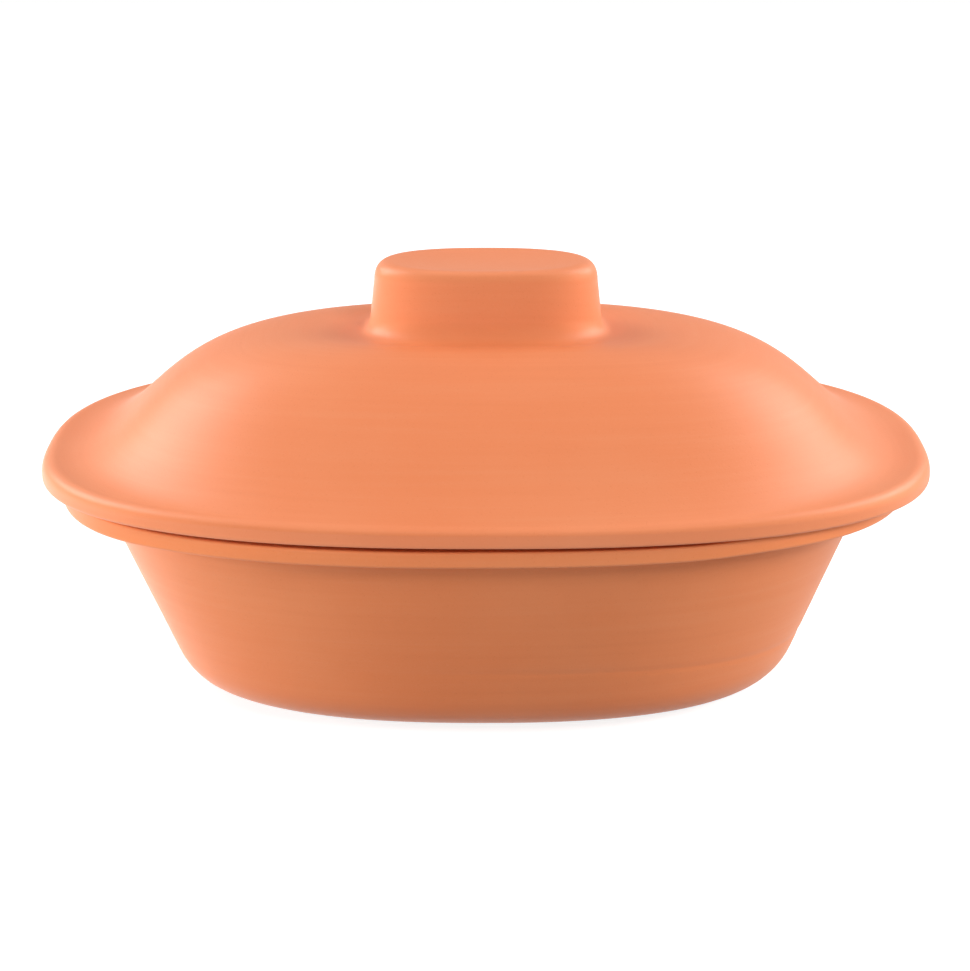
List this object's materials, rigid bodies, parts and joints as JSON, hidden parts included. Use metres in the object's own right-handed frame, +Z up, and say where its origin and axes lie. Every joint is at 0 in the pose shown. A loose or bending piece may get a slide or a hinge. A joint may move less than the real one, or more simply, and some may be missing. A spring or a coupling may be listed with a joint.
{
  "type": "clay roaster",
  "caption": "Oval unglazed terracotta roaster: a leaning dish with a flat ledge of a rim, and a loose domed lid with a wide hollow knob, for roasting in an oven.",
  "frame": {"origin": "middle of the flat foot, on the surface that the dish stands on", "axes": "+X along the length, +Y across the width to the back, +Z up through the knob"},
  "size_m": [0.36, 0.244, 0.1754],
  "materials": {
    "dish_clay": "unglazed orange terracotta, dry and matt, smoothed while damp",
    "lid_clay": "unglazed orange terracotta, dry and matt, smoothed while damp"
  },
  "bodies": {
    "dish": {"dish": "dish_clay"},
    "lid": {"lid": "lid_clay"}
  },
  "joints": [
    {"name": "lid_lift", "type": "slide", "parent": "dish", "child": "lid", "axis": [0, 0, 1], "range_m": [0, 0.15]}
  ]
}
